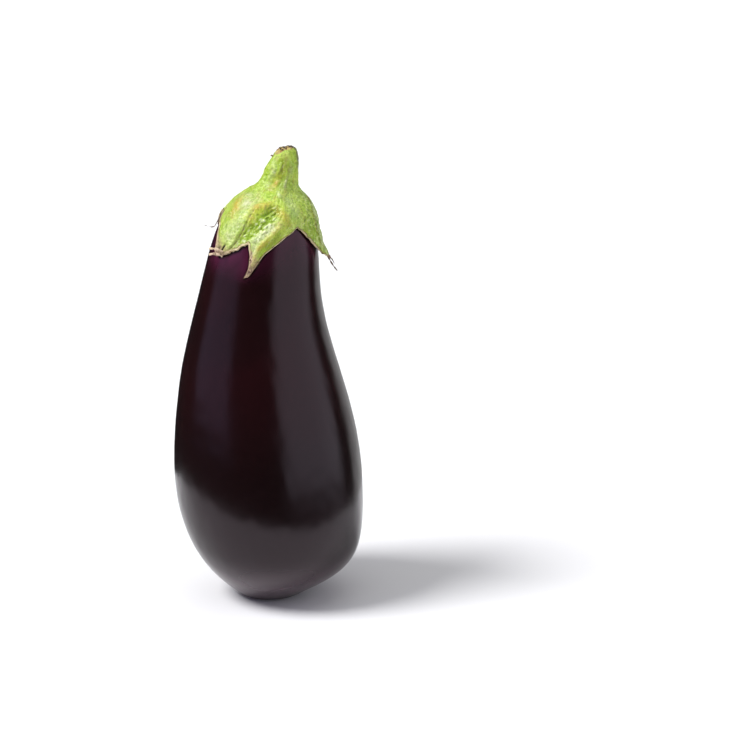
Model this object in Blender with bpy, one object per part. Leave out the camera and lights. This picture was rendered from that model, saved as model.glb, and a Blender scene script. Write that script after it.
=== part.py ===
"""An eggplant: a pear-shaped fruit that stands on its blossom end, and the green calyx that grips it with its stem."""

import math

import bmesh
import bpy
import numpy as np

# Driving dimensions, in metres. The origin is the middle of the flat spot that the fruit stands on.
FRUIT_HEIGHT = 0.2045
BELLY_RADIUS = 0.0475
FOOT_RADIUS = 0.0135
STEM_TOP_HEIGHT = 0.2275
STEM_RADIUS = 0.0083
SKIN_GAP = 0.00035
CALYX_THICKNESS = 0.0026
LOBE_EDGE_THICKNESS = 0.0009

# Mesh density
FRUIT_SIDES = 64
FRUIT_ROWS = 46
CALYX_SIDES = 108
OUTER_ROWS = 24
INNER_ROWS = 9
CROWN_ROWS = 4

# The fruit's rings from the foot up, as shares of FRUIT_HEIGHT and BELLY_RADIUS:
# height, radius, how far the ring's centre is to the right, how much lower its right side sits.
FRUIT_RINGS = (
    (0.000, FOOT_RADIUS / BELLY_RADIUS, 0.00, 0.00),
    (0.004, 0.36, 0.00, 0.00),
    (0.017, 0.44, 0.03, 0.00),
    (0.047, 0.63, 0.07, 0.02),
    (0.108, 0.87, 0.05, 0.06),
    (0.205, 0.99, 0.01, 0.15),
    (0.323, 1.00, 0.00, 0.19),
    (0.450, 0.95, 0.00, 0.15),
    (0.587, 0.82, -0.07, 0.04),
    (0.724, 0.65, -0.09, 0.00),
    (0.850, 0.58, -0.03, -0.02),
    (0.938, 0.50, 0.01, -0.02),
    (0.990, 0.36, 0.04, 0.00),
    (1.000, 0.00, 0.06, 0.00),
)

# How far the fruit's section departs from a circle: waves round it, size at the belly, turn in degrees
SECTION_WAVES = (
    (2, 0.004, 20),
    (3, 0.004, 75),
    (5, 0.002, 10),
)

# The stem's rings from the cut down to the calyx's shoulder, as shares of STEM_TOP_HEIGHT and STEM_RADIUS:
# height, radius, how far the centre is to the right and how much lower the right side sits.
STEM_RINGS = (
    (0.998, 0.50, 1.12, -0.15),
    (0.993, 0.76, 1.12, -0.20),
    (0.983, 0.87, 1.13, -0.20),
    (0.963, 0.97, 1.00, -0.10),
    (0.938, 1.06, 0.86, 0.00),
    (0.918, 1.25, 0.60, 0.00),
    (0.908, 1.72, 0.32, 0.00),
)
STEM_RIBS = 5
STEM_RIB_DEPTH = 0.05

# The calyx's lobes, going round to the right from the front. Each has the notch that starts it, the middle of one
# side, its tip and the middle of its other side, as azimuth in degrees and height in metres, and how far its tip
# stands off the skin.
LOBES = (
    ((-17, 0.1855), (-13, 0.1775), (-15, 0.1692), (9, 0.1822), 0.0010),
    ((41, 0.1908), (67, 0.1808), (88, 0.1675), (104, 0.1820), 0.0070),
    ((118, 0.1900), (129, 0.1820), (146, 0.1715), (160, 0.1815), 0.0025),
    ((174, 0.1885), (186, 0.1800), (204, 0.1685), (214, 0.1810), 0.0020),
    ((226, 0.1900), (240, 0.1885), (255, 0.1865), (261, 0.1920), 0.0045),
    ((266, 0.1955), (294, 0.1880), (311, 0.1778), (327, 0.1800), 0.0010),
)

# How the calyx's sheet runs from the stem, at 0, to the lobes' edge, at 1: where it starts on the fruit's skin,
# where the tips begin to lift off, how late the columns swing towards the tips and how early the sheet thins.
CALYX_TOP_SHARE = 0.905
CURL_START = 0.70
COLUMN_SWING = 1.5
SHEET_TAPER = 0.7
SHEET_GUIDES = 7

# Relief on the calyx, one soft bump or dent each: azimuth and height of its middle, half-widths in degrees and metres,
# and its size. The dents are the hollows under the shoulder; the bumps are the folds beside them.
CALYX_RELIEF = (
    (2, 0.1935, 13, 0.0070, -0.0016),
    (-9, 0.1860, 9, 0.0060, -0.0010),
    (20, 0.1905, 7, 0.0090, 0.0007),
    (-30, 0.1930, 8, 0.0100, 0.0007),
    (75, 0.1900, 9, 0.0130, 0.0006),
    (145, 0.1920, 14, 0.0080, -0.0011),
    (205, 0.1900, 9, 0.0130, 0.0006),
    (250, 0.1940, 12, 0.0070, -0.0010),
)
RELIEF_FADE = 0.12


def spline(points, shares):
    """A smooth curve, a uniform cubic B-spline, led by the points. It starts at the first and ends at the last."""
    points = np.asarray(points, float)
    before = 2 * points[0] - points[1]
    after = 2 * points[-1] - points[-2]
    padded = np.concatenate([before[None], points, after[None]])
    spans = len(points) - 1
    place = np.clip(np.asarray(shares, float), 0, 1) * spans
    start = np.minimum(place.astype(int), spans - 1)
    u = (place - start).reshape(start.shape + (1,) * (points.ndim - 1))
    weights = ((1 - u) ** 3, 3 * u**3 - 6 * u**2 + 4, 1 + 3 * u + 3 * u**2 - 3 * u**3, u**3)
    return sum(weight * padded[start + k] for k, weight in enumerate(weights)) / 6


def ring_points(height, radius, centre_x, drop, angle):
    """Points of tilted rings. The angle runs from +X, the fruit's right side, towards +Y, its back."""
    return np.stack(
        [
            centre_x + radius * np.cos(angle),
            radius * np.sin(angle),
            height - drop * np.cos(angle),
        ],
        axis=-1,
    )


def section(angle, radius):
    """How far the fruit bulges at an angle, as a factor. The foot and the top stay nearly round."""
    swell = np.clip((radius - FOOT_RADIUS) / (BELLY_RADIUS - FOOT_RADIUS), 0, 1)
    waves = sum(size * np.cos(count * (angle - math.radians(turn))) for count, size, turn in SECTION_WAVES)
    return 1 + swell * waves


def fruit_surface(share, angle):
    """The fruit's skin, from the foot's rim at share 0 to the top at share 1."""
    scale = (FRUIT_HEIGHT, BELLY_RADIUS, BELLY_RADIUS, BELLY_RADIUS)
    ring = spline(np.array(FRUIT_RINGS) * scale, share)
    height, radius, centre_x, drop = np.moveaxis(ring, -1, 0)
    return ring_points(height, radius * section(angle, radius), centre_x, drop, angle)


def fruit_normal(share, angle):
    """The skin's outward direction."""
    step = 1e-4
    along = fruit_surface(share + step, angle) - fruit_surface(share - step, angle)
    round_it = fruit_surface(share, angle + step) - fruit_surface(share, angle - step)
    normal = np.cross(round_it, along)
    return normal / np.linalg.norm(normal, axis=-1, keepdims=True)


def share_at_height(height):
    """The share of the skin's run at which it reaches a height, on the average of its sides."""
    shares = np.linspace(0, 1, 400)
    heights = fruit_surface(shares, np.full_like(shares, math.pi / 2))[:, 2]
    return np.interp(height, heights, shares)


def angle_of(azimuth):
    """Azimuth is in degrees from the front, growing to the right; the angle is in radians from +X."""
    return np.radians(azimuth) - math.pi / 2


def lobe_edge(columns):
    """For each column of the calyx: its azimuth at the stem, its azimuth and height at the lobe's edge,
    and how far the edge stands off the skin there."""
    azimuth = LOBES[0][0][0] + 360 * columns / CALYX_SIDES
    edge = []
    for run in columns * len(LOBES) / CALYX_SIDES:
        notch, side, tip, other_side, lift = LOBES[int(run)]
        next_notch = LOBES[(int(run) + 1) % len(LOBES)][0]
        if next_notch[0] < notch[0]:
            next_notch = (next_notch[0] + 360, next_notch[1])
        ends = (notch, side, tip) if run % 1 < 0.5 else (next_notch, other_side, tip)
        near_tip = 1 - abs(2 * (run % 1) - 1)
        first, middle, last = np.array(ends)
        here = first + (last - first) * near_tip + 4 * near_tip * (1 - near_tip) * (middle - (first + last) / 2)
        edge.append((*here, lift * near_tip**3))
    return azimuth, *np.transpose(edge)


def relief(azimuth, height):
    """The calyx's folds and hollows, as a distance along the normal."""
    total = np.zeros(np.broadcast(azimuth, height).shape)
    for middle, middle_height, half_width, half_height, size in CALYX_RELIEF:
        turn = (azimuth - middle + 180) % 360 - 180
        total += size * np.exp(-((turn / half_width) ** 2) - ((height - middle_height) / half_height) ** 2)
    return total


def fruit_centre_below_calyx():
    """The middle of the fruit at the height of the lowest tip. The calyx's relief points away from it."""
    lowest_tip = min(lobe[2][1] for lobe in LOBES)
    return np.array([0, 0, lowest_tip])


def calyx_run(columns, reach):
    """Share and azimuth on the skin under the calyx, the skin's point and normal there, and the calyx's underside lift.
    Reach runs from 0, by the stem, to 1, at the lobes' edge."""
    azimuth, edge_azimuth, edge_height, lift = lobe_edge(columns)
    edge_share = share_at_height(edge_height)
    reach = np.asarray(reach, float)[:, None]
    share = CALYX_TOP_SHARE + (edge_share - CALYX_TOP_SHARE) * reach
    here = azimuth + (edge_azimuth - azimuth) * reach**COLUMN_SWING
    curl = lift * np.clip((reach - CURL_START) / (1 - CURL_START), 0, 1) ** 2
    angle = angle_of(here)
    return share, here, fruit_surface(share, angle), fruit_normal(share, angle), SKIN_GAP + curl


def calyx_outside(columns, shares):
    """The stem's side and the calyx's upper side as one smooth sheet, from the cut rim to the lobes' edge."""
    azimuth = lobe_edge(columns)[0]
    angle = angle_of(azimuth)
    ribs = 1 + STEM_RIB_DEPTH * np.cos(STEM_RIBS * angle)
    guides = []
    for height, radius, centre_x, drop in STEM_RINGS:
        guides.append(
            ring_points(
                height * STEM_TOP_HEIGHT,
                radius * STEM_RADIUS * ribs,
                centre_x * STEM_RADIUS,
                drop * STEM_RADIUS,
                angle,
            )
        )
    reach = np.linspace(0, 1, SHEET_GUIDES)
    thickness = LOBE_EDGE_THICKNESS + (CALYX_THICKNESS - LOBE_EDGE_THICKNESS) * (1 - reach[:, None]) ** SHEET_TAPER
    _, here, skin, normal, lift = calyx_run(columns, reach)
    guides.extend(skin + normal * (lift + thickness)[..., None])
    sheet = spline(np.array(guides), shares)
    bump = relief(np.degrees(np.arctan2(sheet[..., 1], sheet[..., 0])) + 90, sheet[..., 2])
    outward = sheet - fruit_centre_below_calyx()
    outward /= np.linalg.norm(outward, axis=-1, keepdims=True)
    fade = np.clip((1 - np.asarray(shares)[:, None]) / RELIEF_FADE, 0, 1)
    return sheet + outward * (bump * fade)[..., None]


def calyx_inside(columns):
    """The calyx's underside, which follows the skin from the fruit's top to the lobes' edge."""
    shares = np.linspace(1, CALYX_TOP_SHARE, CROWN_ROWS + 1)[1:-1, None]
    angle = angle_of(lobe_edge(columns)[0])
    crown = fruit_surface(shares, angle) + fruit_normal(shares, angle) * SKIN_GAP
    _, _, skin, normal, lift = calyx_run(columns, np.linspace(0, 1, INNER_ROWS))
    return np.concatenate([crown, skin + normal * lift[..., None]])


def closed_sheet(name, rows, bottom, top, collection, material):
    """A closed body with these rows of points from its lower pole to its upper one, made from a UV sphere."""
    sides = rows.shape[1]
    mesh = bpy.data.meshes.new(name)
    shape = bmesh.new()
    bmesh.ops.create_uvsphere(shape, u_segments=sides, v_segments=len(rows) + 1, radius=1)
    for vertex in shape.verts:
        row = round(math.acos(max(-1, min(1, -vertex.co.z))) / math.pi * (len(rows) + 1))
        column = round(math.atan2(vertex.co.y, vertex.co.x) / (2 * math.pi) * sides) % sides
        if row == 0:
            vertex.co = bottom
        elif row > len(rows):
            vertex.co = top
        else:
            vertex.co = rows[row - 1][column]
    bmesh.ops.recalc_face_normals(shape, faces=shape.faces)
    shape.to_mesh(mesh)
    shape.free()
    mesh.shade_smooth()
    mesh.set_sharp_from_angle(angle=math.radians(50))
    mesh.materials.append(material)
    item = bpy.data.objects.new(name, mesh)
    collection.objects.link(item)
    return item


def plain_material(name, colour, roughness):
    material = bpy.data.materials.new(name)
    material.use_nodes = True
    shader = material.node_tree.nodes["Principled BSDF"]
    shader.inputs["Base Color"].default_value = (*colour, 1)
    shader.inputs["Roughness"].default_value = roughness
    shader.inputs["Metallic"].default_value = 0
    return material


def make_fruit(collection):
    """The fruit in one piece, with the flat spot of its blossom end at height 0."""
    shares = np.linspace(0, 1, FRUIT_ROWS + 1)[:-1]
    angle = 2 * math.pi * np.arange(FRUIT_SIDES) / FRUIT_SIDES
    rows = fruit_surface(shares[:, None], angle[None, :])
    top = fruit_surface(np.array(1.0), np.array(0.0))
    skin = plain_material("aubergine_skin", (0.018, 0.006, 0.012), 0.2)
    return closed_sheet("fruit", rows, (0, 0, 0), top, collection, skin)


def make_calyx(collection):
    """The calyx and the stem, grown as one: lobes over the fruit's shoulder, and the stem cut flat above them."""
    columns = np.arange(CALYX_SIDES, dtype=float)
    outside = calyx_outside(columns, np.linspace(1, 0, OUTER_ROWS))
    rows = np.concatenate([calyx_inside(columns), outside])
    under_stem = fruit_surface(np.array(1.0), np.array(0.0)) + np.array([0, 0, SKIN_GAP])
    cut_middle = outside[-1].mean(axis=0)
    green = plain_material("calyx_green", (0.36, 0.5, 0.07), 0.45)
    return closed_sheet("calyx_with_stem", rows, under_stem, cut_middle, collection, green)


def main():
    for item in list(bpy.data.objects):
        bpy.data.objects.remove(item)
    eggplant = bpy.data.collections.new("eggplant")
    bpy.context.scene.collection.children.link(eggplant)
    make_fruit(eggplant)
    make_calyx(eggplant)


main()
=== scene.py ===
"""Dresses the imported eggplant: its dark glossy fruit, its green calyx and cut stem, and a pale studio."""

import math

import bpy
import numpy as np
from bpy.props import FloatProperty, PointerProperty, StringProperty
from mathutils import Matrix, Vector


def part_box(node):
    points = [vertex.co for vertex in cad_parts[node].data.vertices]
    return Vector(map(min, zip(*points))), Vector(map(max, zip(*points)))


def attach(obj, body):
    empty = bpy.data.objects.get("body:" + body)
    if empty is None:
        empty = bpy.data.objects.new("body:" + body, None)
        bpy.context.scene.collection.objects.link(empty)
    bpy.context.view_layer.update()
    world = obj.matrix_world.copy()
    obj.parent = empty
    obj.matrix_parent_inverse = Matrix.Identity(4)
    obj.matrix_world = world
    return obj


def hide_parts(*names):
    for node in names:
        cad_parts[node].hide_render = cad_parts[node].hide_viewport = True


bl_info = {
    "name": "Eggplant looks",
    "version": (1, 0, 0),
    "blender": (4, 5, 0),
    "location": "View3D > Sidebar > Eggplant",
    "description": "Builds the finished surfaces of a packed eggplant and the studio round it",
    "category": "Object",
}

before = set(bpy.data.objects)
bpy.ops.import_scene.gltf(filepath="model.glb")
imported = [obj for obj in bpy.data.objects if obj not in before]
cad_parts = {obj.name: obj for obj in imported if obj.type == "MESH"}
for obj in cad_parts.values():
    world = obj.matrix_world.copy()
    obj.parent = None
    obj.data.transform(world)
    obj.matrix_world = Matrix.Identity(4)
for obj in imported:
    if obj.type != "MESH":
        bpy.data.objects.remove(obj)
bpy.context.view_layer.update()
FRUIT_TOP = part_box("fruit")[1].z
FOOT_SHARE = 0.284
MM = 0.001

# The fruit's rings from the foot up, as shares of its height and belly radius:
# height, radius, how far the ring's centre is to the right, how much lower its right side sits.
FRUIT_RINGS = (
    (0.000, FOOT_SHARE, 0.00, 0.00),
    (0.004, 0.35, 0.00, 0.00),
    (0.018, 0.42, 0.03, -0.01),
    (0.048, 0.62, 0.07, -0.01),
    (0.108, 0.87, 0.05, 0.06),
    (0.205, 0.99, 0.01, 0.15),
    (0.323, 1.00, 0.00, 0.19),
    (0.450, 0.95, 0.00, 0.15),
    (0.587, 0.82, -0.07, 0.04),
    (0.724, 0.65, -0.09, 0.00),
    (0.850, 0.58, -0.03, -0.02),
    (0.938, 0.50, 0.01, -0.02),
    (0.990, 0.36, 0.04, 0.00),
    (1.000, 0.00, 0.06, 0.00),
)

# How far the fruit's section departs from a circle: waves round it, size at the belly, turn in degrees
SECTION_WAVES = (
    (2, 0.004, 20),
    (3, 0.004, 75),
    (5, 0.002, 10),
)

# The stem's rings from the cut down to the calyx's shoulder, as shares of the stem's height and radius:
# height, radius, how far the centre is to the right and how much lower the right side sits.
STEM_RINGS = (
    (0.999, 0.26, 1.19, -0.03),
    (0.993, 0.60, 1.16, -0.15),
    (0.978, 0.84, 1.10, -0.24),
    (0.957, 1.00, 0.97, -0.14),
    (0.935, 1.07, 0.85, 0.00),
    (0.915, 1.25, 0.60, 0.00),
    (0.905, 1.72, 0.32, 0.00),
)
STEM_RIBS = 5

# The calyx's lobes, going round to the right from the front. Each has the notch that starts it, the points
# down its first side, its tip, how far the tip stands off the skin in mm, the points up its second side,
# and the husk's width in mm along each side. A point is an azimuth in degrees and a height in mm.
LOBES = (
    ((-15.5, 184.6), ((-13.2, 181.5), (-11.4, 177), (-11.6, 173)), (-14.8, 168.9), 1.0,
     ((-9, 170), (-5.5, 173.6), (-0.5, 178.2), (10, 182.8), (25, 187.2)), (1.2, 0.5)),
    ((41, 190.8), ((52, 186.4), (65, 180.4), (77, 175.6)), (87, 172.3), 4.8,
     ((92, 177), (101, 182.5), (110, 187)), (0.38, 0.8)),
    ((118, 190.0), ((123, 187), (129, 182), (138, 176)), (146, 171.5), 2.5,
     ((153, 176), (160, 181.5), (168, 186)), (0.5, 0.9)),
    ((174, 188.5), ((180, 185), (187, 180), (196, 174)), (204, 168.5), 2.0,
     ((209, 174), (214, 181), (220, 186.5)), (0.9, 0.5)),
    ((226, 190.0), ((233, 189.2), (240, 188.5), (247, 188)), (253, 188.8), 0.2,
     ((257, 190.5), (260, 192.8), (263, 194.8)), (0.8, 0.5)),
    ((266, 195.8), ((279, 195), (291, 193), (300, 187.5)), (307, 178.4), 1.0,
     ((315, 177.9), (325, 180.0), (335, 182.6)), (2.0, 1.1)),
)

# The calyx's sheet: where on the fruit it starts, how far out its lobes begin to curl, how late its columns
# swing towards the lobes' edge, how many rings guide it on its way there, and its rough radius in mm
CALYX_TOP_SHARE = 0.905
CURL_START = 0.70
COLUMN_SWING = 1.5
SHEET_GUIDES = 7
CALYX_RADIUS = 30

# How fine the meshes are. The points round the calyx are a multiple of its lobes' sides.
FRUIT_SIDES = 288
FRUIT_ROWS = 340
EDGE_SIDES = 216
CALYX_SIDES = 540
CALYX_ROWS = 210
UNDERSIDE_ROWS = 18

# Folds, ridges and stains of the calyx: the path as azimuth in degrees and height in mm, its half-width and
# relief in mm, a minus for a groove, and which tint it carries with what strength. Azimuth goes round the
# fruit's middle, and round the stem's own middle in a path that keeps above STEM_FOOT.
STEM_FOOT = 208.5
# Of the tints, pale is partly the tissue's own lighter green and partly a painted highlight on ridges and on
# faces towards the light; sheen is a painted highlight; hollow is a deeper green that is partly painted
# shade in hollows and dents
FOLDS = (
    # The front's long grooves, and the raised rim of its hollow
    (((-13, 200.8), (-18, 196.6), (-22, 192), (-27, 188.2), (-32, 184.3), (-37, 181.4)),
     0.6, -0.55, "groove", 0.8),
    (((-19, 191.6), (-22, 189), (-27, 186), (-30, 183.9)), 0.45, -0.35, "groove", 0.5),
    (((-15, 198.2), (-10, 201.1), (0, 202.4), (11, 201.7), (19, 200.2), (25, 198.3), (26, 196.1), (21, 194)),
     2.2, 1.1, "warm", 0.9),
    (((-5, 201.6), (-11.5, 199.5), (-15, 197), (-18, 194.5)), 1.3, 0.1, "warm", 0.6),
    # The left lobe
    (((-19, 203.9), (-25, 201), (-28, 197.6), (-31, 193.2), (-36, 189.2), (-42, 185)),
     3.0, 0.6, "pale", 0.25),
    (((-42, 204.4), (-30, 202.8), (-16, 203.8)), 2.8, 0.2, "sheen", 1.3),
    (((-62, 206), (-30, 206.2), (-14, 206.4)), 2.0, 0.0, "sheen", 0.7),
    (((-47, 191), (-40, 188), (-33, 185)), 2.4, 0.0, "sheen", 0.7),
    (((-46, 198), (-40, 194), (-38, 188)), 5.5, 0.2, "grey", 0.8),
    (((-60, 204.5), (-46, 201.6), (-41, 198)), 2.5, 0.15, "warm", 0.9),
    (((-62, 204.5), (-46, 201.6), (-41, 197)), 3.2, 0.0, "olive", 0.6),
    # The front lobe, with its crest and pale flank; the flank's paleness is partly a painted highlight
    (((21, 194), (11, 190.2), (3, 186.6), (-4, 183.9), (-7, 180.7), (-9, 177.2), (-13, 173)),
     1.2, 1.1, "warm", 0.5),
    (((15, 194.3), (5, 191.1), (-5, 188.2), (-12, 185.2)), 2.0, 0.4, "pale", 0.8),
    (((24, 190), (12, 185.5), (1, 180)), 3.0, 0.1, "olive", 0.8),
    (((-9.5, 186), (-8, 182), (-8, 178)), 1.6, 0.0, "sheen", 0.8),
    (((-9, 198), (-14, 194.5), (-20, 190.5)), 1.6, 0.0, "olive", 0.4),
    # Dry tips, one of them split
    (((-15, 169), (-13.5, 172.5), (-12, 176)), 2.8, 0.0, "dry", 1.5),
    (((-12.5, 175), (-12, 178), (-13, 181)), 1.2, 0.0, "dry", 1.2),
    (((-54, 182.5), (-50, 180.2), (-44, 179.8)), 2.8, 0.0, "dry", 1.5),
    (((-42, 183.8), (-46, 180.2)), 0.5, -0.7, "slit", 1.5),
    # The right side, and the far left
    (((87, 203.9), (72, 198.4), (71, 192.7), (73, 186.7), (77, 181.3)), 0.6, 0.5, "brown", 0.9),
    (((86, 202), (80, 196), (79, 190), (81, 184), (84, 178)), 1.1, 0.2, "sheen", 0.7),
    (((50, 194.5), (52, 190.5), (55, 186)), 3.2, 0.0, "olive", 0.6),
    (((42, 208), (42, 203), (41, 198), (43, 194)), 3.2, -0.2, "grey", 0.8),
    (((78, 206), (84, 202), (88, 197)), 5.0, 1.6, "pale", 0.15),
    (((-84, 203.5), (-90, 199), (-90, 193)), 5.5, -1.7, "pale", 0.3),
    # The stem and its foot; their pale spots are partly painted highlights
    (((-12, 225), (-10, 221), (-8, 217)), 2.6, -0.1, "hollow", 0.6),
    (((2, 226), (4, 220.5), (6, 216), (8, 211)), 1.8, -0.4, "olive", 0.9),
    (((15, 225.5), (13, 218)), 1.1, 0.2, "brown", 0.6),
    (((3, 222), (4, 216.5)), 0.5, -0.4, "groove", 0.8),
    (((38, 220), (37, 214.5)), 0.9, 0.3, "grey", 0.8),
    (((27, 219), (31, 214), (30, 209)), 0.6, -0.4, "brown", 0.5),
    (((26, 214), (26, 209.5)), 0.8, 0.3, "pale", 0.5),
    (((-22, 218.2), (-22, 215.8)), 0.9, 0.3, "pale", 0.9),
    (((-38, 223), (-30, 217), (-26, 212)), 1.3, 0.35, "pale", 0.2),
    (((-6, 214.5), (-3, 209)), 1.4, 0.2, "warm", 1.0),
    (((-34, 212), (-16, 209.5)), 1.6, 0.2, "pale", 0.35),
    (((28, 207.9), (29, 206.2)), 0.8, 0.3, "pale", 0.7),
    # The back's ribs, with a pale tint that is partly a painted highlight, and the dents between its lobes,
    # with a deeper green that is partly painted shade
    (((146, 203), (146, 190), (146, 176)), 1.6, 0.7, "pale", 0.4),
    (((200, 203), (203, 188), (204, 173)), 1.5, 0.7, "pale", 0.4),
    (((120, 202), (119, 196)), 4.0, -0.8, "hollow", 0.5),
    (((176, 202), (175, 195)), 4.0, -0.8, "hollow", 0.5),
    (((228, 202), (227, 196)), 3.6, -0.8, "hollow", 0.5),
)

# The sunken, wrinkled hollow of the front: its axis and, in mm, its half-width at the two ends and its depth
HOLLOW_AXIS = ((13, 200.1), (5, 196.6), (-5, 193.3), (-13, 190.4), (-22, 187), (-27, 184.6))
HOLLOW_HALF_WIDTHS = (4.6, 2.6)
HOLLOW_DEPTH = 1.1

# Withered ends that curl away from the calyx: points in mm from the root out, the thickness at the root in
# mm, and how brown they have turned
WISPS = (
    ((-19.5, -21.0, 180.4), (-22.0, -21.6, 181.6), (-24.2, -20.6, 182.2), (-26.4, -17.6, 181.4), 1.8, 0.0),
    ((-19.8, -21.6, 178.8), (-22.2, -22.2, 179.6), (-24.6, -21.2, 179.8), (-26.6, -18.6, 178.6), 1.7, 0.0),
    ((-18.4, -4.0, 199.0), (-20.4, -4.0, 196.6), (-22.4, -4.0, 193.8), (-23.8, -4.0, 191.2),
     (-24.4, -4.0, 189.8), (-25.6, -4.0, 189.2), (-27.4, -4.2, 189.5), (-29.8, -4.4, 190.5), 1.0, 0.8),
    ((28.6, -1.5, 177.6), (30.2, -2.0, 174.6), (31.8, -2.4, 171.8), (33.0, -2.8, 169.8),
     (35.0, -2.8, 167.4), 2.0, 0.8),
    ((30.0, -1.5, 174.8), (31.8, -1.2, 173.6), (33.0, -1.0, 172.0), (33.4, -1.0, 170.6), 1.4, 0.8),
    ((5.6, -2.4, 223.4), (4.2, -2.9, 224.0), (3.2, -3.2, 224.4), 1.5, 0.7),
)


class FruitSettings(bpy.types.PropertyGroup):
    belly_radius: FloatProperty(
        name="Belly radius",
        description="Half the width of the fruit at its widest",
        default=0.0475,
        unit="LENGTH",
    )
    height: FloatProperty(
        name="Height",
        description="From the flat spot to the top of the fruit, under the stem",
        default=FRUIT_TOP,
        unit="LENGTH",
    )
    unevenness: FloatProperty(
        name="Unevenness",
        description="How far the skin wanders from its smooth form",
        default=0.00006,
        precision=5,
        unit="LENGTH",
    )
    skin: StringProperty(
        name="Skin",
        description="Colour of the dark skin, as sRGB hex",
        default="#140809",
    )
    young_skin: StringProperty(
        name="Skin by the calyx",
        description="Colour of the purple skin that the calyx has shaded, as sRGB hex",
        default="#541e3a",
    )


class CalyxSettings(bpy.types.PropertyGroup):
    stem_height: FloatProperty(
        name="Stem height",
        description="Height of the stem's cut above the flat spot",
        default=0.2283,
        unit="LENGTH",
    )
    stem_radius: FloatProperty(
        name="Stem radius",
        description="Radius of the stem below its cut",
        default=0.0083,
        unit="LENGTH",
    )
    thickness: FloatProperty(
        name="Thickness",
        description="Thickness of the calyx at the shoulder",
        default=0.0026,
        unit="LENGTH",
    )
    edge_thickness: FloatProperty(
        name="Edge thickness",
        description="Thickness of the lobes near their rounded edge",
        default=0.0010,
        unit="LENGTH",
    )
    green: StringProperty(
        name="Green",
        description="Main colour of the calyx, as sRGB hex",
        default="#aecd38",
    )
    pale_green: StringProperty(
        name="Pale green",
        description="Colour of the calyx's lighter patches, as sRGB hex",
        default="#cfe55e",
    )
    dark_green: StringProperty(
        name="Dark green",
        description="Colour of the calyx's mottling, as sRGB hex",
        default="#6d8c20",
    )


class StageSettings(bpy.types.PropertyGroup):
    camera_distance: FloatProperty(
        name="Camera distance",
        description="From the camera to the point it looks at",
        default=1.1,
        unit="LENGTH",
    )
    camera_elevation: FloatProperty(
        name="Camera elevation",
        description="How far the camera looks down",
        default=math.radians(15),
        subtype="ANGLE",
    )
    lens: FloatProperty(
        name="Lens",
        description="Focal length in mm on a sensor 36 mm wide",
        default=106.0,
    )
    key_strength: FloatProperty(
        name="Key light",
        description="Strength of the large soft light above and to the left, in watts per square metre",
        default=3.25,
    )


def linear(colour):
    """A linear RGBA colour from sRGB hex."""
    shares = (int(colour[k : k + 2], 16) / 255 for k in (1, 3, 5))
    return (*(c / 12.92 if c <= 0.04045 else ((c + 0.055) / 1.055) ** 2.4 for c in shares), 1.0)


def smooth_step(low, high, value):
    """0 up to low, 1 past high and smooth in between. It falls with the value where low is the larger."""
    t = np.clip((value - low) / (high - low), 0, 1)
    return t * t * (3 - 2 * t)


def unit(vectors):
    """The vectors at length 1."""
    return vectors / np.linalg.norm(vectors, axis=-1, keepdims=True)


def spline(points, shares):
    """A smooth curve led by points, a uniform cubic B-spline from the first of them to the last."""
    points = np.asarray(points, float)
    before = 2 * points[0] - points[1]
    after = 2 * points[-1] - points[-2]
    padded = np.concatenate([before[None], points, after[None]])
    spans = len(points) - 1
    place = np.clip(np.asarray(shares, float), 0, 1) * spans
    start = np.minimum(place.astype(int), spans - 1)
    u = (place - start).reshape(start.shape + (1,) * (points.ndim - 1))
    weights = ((1 - u) ** 3, 3 * u**3 - 6 * u**2 + 4, 1 + 3 * u + 3 * u**2 - 3 * u**3, u**3)
    return sum(weight * padded[start + k] for k, weight in enumerate(weights)) / 6


def ripples(points, wavelength, seed, stretch=(1, 1, 1), count=40):
    """Smooth irregular waves in space, of about unit size. Stretch makes them longer along an axis."""
    random = np.random.default_rng(seed)
    directions = unit(random.normal(size=(count, 3)))
    lengths = wavelength * random.uniform(0.7, 1.5, (count, 1))
    waves = 2 * math.pi * directions / lengths / np.asarray(stretch, float)
    phases = random.uniform(0, 2 * math.pi, count)
    total = np.zeros(points.shape[:-1])
    for wave, phase in zip(waves, phases):
        total += np.cos(points @ wave + phase)
    return total / math.sqrt(count / 2)


def ring_points(height, radius, centre_x, drop, angle):
    """Points of tilted rings. The angle runs from +X, the fruit's right side, towards +Y, its back."""
    points = (centre_x + radius * np.cos(angle), radius * np.sin(angle), height - drop * np.cos(angle))
    return np.stack(points, axis=-1)


def fruit_surface(share, angle):
    """The fruit's skin, from the foot's rim at share 0 to the top at share 1."""
    settings = bpy.context.scene.eggplant_fruit
    belly = settings.belly_radius
    ring = spline(np.array(FRUIT_RINGS) * (settings.height, belly, belly, belly), share)
    height, radius, centre_x, drop = np.moveaxis(ring, -1, 0)
    foot = FOOT_SHARE * belly
    swell = np.clip((radius - foot) / (belly - foot), 0, 1)
    waves = sum(size * np.cos(count * (angle - math.radians(turn))) for count, size, turn in SECTION_WAVES)
    return ring_points(height, radius * (1 + swell * waves), centre_x, drop, angle)


def fruit_normal(share, angle):
    """The skin's outward direction."""
    step = 1e-4
    along = fruit_surface(share + step, angle) - fruit_surface(share - step, angle)
    round_it = fruit_surface(share, angle + step) - fruit_surface(share, angle - step)
    return unit(np.cross(round_it, along))


def share_at_height(height):
    """The share of the skin's run at which it reaches a height, on the average of its sides."""
    shares = np.linspace(0, 1, 400)
    heights = fruit_surface(shares, math.pi / 2)[:, 2]
    return np.interp(height, heights, shares)


def angle_of(azimuth):
    """Azimuth is in degrees from the front, growing to the right; the angle is in radians from +X."""
    return np.radians(azimuth) - math.pi / 2


def sheet_normals(grid):
    """Outward directions of a grid of points, closed round, its rows running up."""
    up = np.gradient(grid, axis=0)
    round_it = np.roll(grid, -1, axis=1) - np.roll(grid, 1, axis=1)
    return unit(np.cross(round_it, up))


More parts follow.
